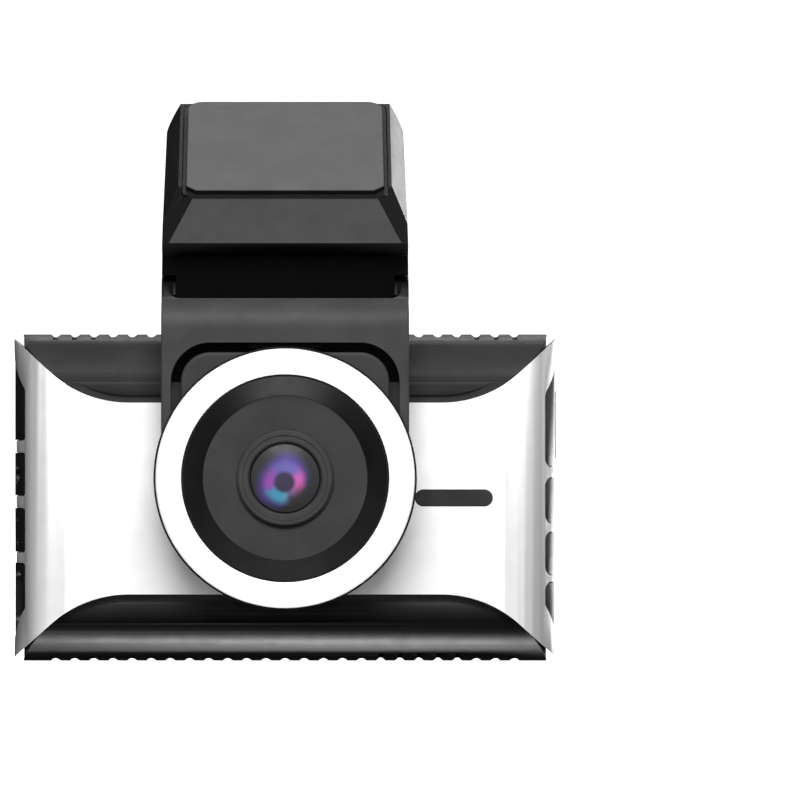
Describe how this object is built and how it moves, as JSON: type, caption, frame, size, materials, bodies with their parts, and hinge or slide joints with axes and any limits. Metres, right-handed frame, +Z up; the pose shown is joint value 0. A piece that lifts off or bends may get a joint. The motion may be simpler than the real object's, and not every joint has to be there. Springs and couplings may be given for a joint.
{
  "type": "dash camera",
  "caption": "Windscreen dash camera: ringed lens pod on a wide silver and black body, slide-on bracket, tilting adhesive head, side keys, rear display, memory card.",
  "frame": {"origin": "bottom centre of the bounding box, on the surface that the camera body stands on", "axes": "+X across the body towards the keys, +Y from the lens towards the display, +Z up"},
  "size_m": [0.0922, 0.0346, 0.096],
  "materials": {
    "silver_shell": "satin silver-white lacquer, fine grain",
    "black_satin": "moulded, fine satin texture",
    "screw_steel": "zinc plated",
    "gasket_black": "foam gasket",
    "display_glass_mat": "polished, dark",
    "panel_dark": "display cell, off",
    "metal_can": "stamped",
    "board_green": "solder mask over glass fibre",
    "chip_black": "moulded package",
    "thermal_grey": "soft pad",
    "sink_aluminium": "extruded",
    "speaker_black": "moulded box with a foil cone",
    "capacitor_sleeve": "sleeved can",
    "antenna_copper": "etched foil",
    "insert_black": "moulded, satin",
    "window_smoke": "smoked, polished",
    "led_white": "diffuse moulded",
    "black_pod": "moulded, fine matt texture",
    "gold_contact": "gold plated",
    "black_gloss": "polished",
    "white_ring": "gloss white lacquer",
    "surround_grey": "fine matt, turned",
    "barrel_black": "black anodised, turned",
    "lens_glass": "polished, purple and cyan coating",
    "card_black": "moulded",
    "key_black": "moulded, satin",
    "black_bracket": "moulded, half gloss",
    "pin_steel": "ground",
    "washer_nylon": "nylon",
    "black_head": "moulded, half gloss with a hatched side",
    "ceramic_tan": "ceramic patch, silver top",
    "foam_grey": "acrylic foam tape, matt"
  },
  "bodies": {
    "camera": {"front_shell": "silver_shell", "core_housing": "black_satin", "rear_bezel": "black_satin", "housing_screws": "screw_steel", "display_gasket": "gasket_black", "display_glass": "display_glass_mat", "lcd_panel": "panel_dark", "backlight": "metal_can", "main_board": "board_green", "board_standoffs": "screw_steel", "processor": "chip_black", "memory_chips": "chip_black", "thermal_pad": "thermal_grey", "heat_sink": "sink_aluminium", "speaker": "speaker_black", "microphone": "metal_can", "supercapacitors": "capacitor_sleeve", "wifi_antenna": "antenna_copper", "card_socket": "metal_can", "av_socket": "chip_black", "usb_socket": "metal_can", "side_port_panel": "insert_black", "key_board": "board_green", "tact_switches": "metal_can", "status_window": "window_smoke", "status_led": "led_white", "lens_pod": "black_pod", "contact_pads": "gold_contact", "lens_cone": "black_gloss", "ring_trim": "white_ring", "lens_surround": "surround_grey", "lens_barrel": "barrel_black", "lens_retaining_ring": "barrel_black", "front_lens": "lens_glass", "iris": "barrel_black", "inner_lenses": "lens_glass", "lens_holder": "chip_black", "image_sensor": "chip_black", "sensor_board": "board_green", "sensor_connector": "chip_black"},
    "card": {"memory_card": "card_black"},
    "power_button": {"power_key": "key_black"},
    "menu_button": {"menu_key": "key_black"},
    "up_button": {"up_key": "key_black"},
    "down_button": {"down_key": "key_black"},
    "bracket": {"bracket_frame": "black_bracket", "contact_block": "chip_black", "contact_pins": "gold_contact", "hinge_pin": "pin_steel", "hinge_washers": "washer_nylon"},
    "head": {"head_shell": "black_head", "power_socket": "metal_can", "power_board": "board_green", "gps_board": "board_green", "gps_antenna": "ceramic_tan", "head_cover": "black_head", "adhesive_pad": "foam_grey"}
  },
  "joints": [
    {"name": "bracket_slide", "type": "slide", "parent": "camera", "child": "bracket", "axis": [0, 0, 1], "range_m": [0, 0.026]},
    {"name": "head_tilt", "type": "hinge", "parent": "bracket", "child": "head", "pos_m": [0, -0.0055, 0.0602], "axis": [1, 0, 0], "range_deg": [-12, 12]},
    {"name": "card_slide", "type": "slide", "parent": "camera", "child": "card", "axis": [-1, 0, 0], "range_m": [0, 0.013]},
    {"name": "power_press", "type": "slide", "parent": "camera", "child": "power_button", "axis": [-1, 0, 0], "range_m": [0, 0.0004], "stiffness_N_per_m": 350, "springref_m": -0.001},
    {"name": "menu_press", "type": "slide", "parent": "camera", "child": "menu_button", "axis": [-1, 0, 0], "range_m": [0, 0.0004], "stiffness_N_per_m": 350, "springref_m": -0.001},
    {"name": "up_press", "type": "slide", "parent": "camera", "child": "up_button", "axis": [-1, 0, 0], "range_m": [0, 0.0004], "stiffness_N_per_m": 350, "springref_m": -0.001},
    {"name": "down_press", "type": "slide", "parent": "camera", "child": "down_button", "axis": [-1, 0, 0], "range_m": [0, 0.0004], "stiffness_N_per_m": 350, "springref_m": -0.001}
  ]
}
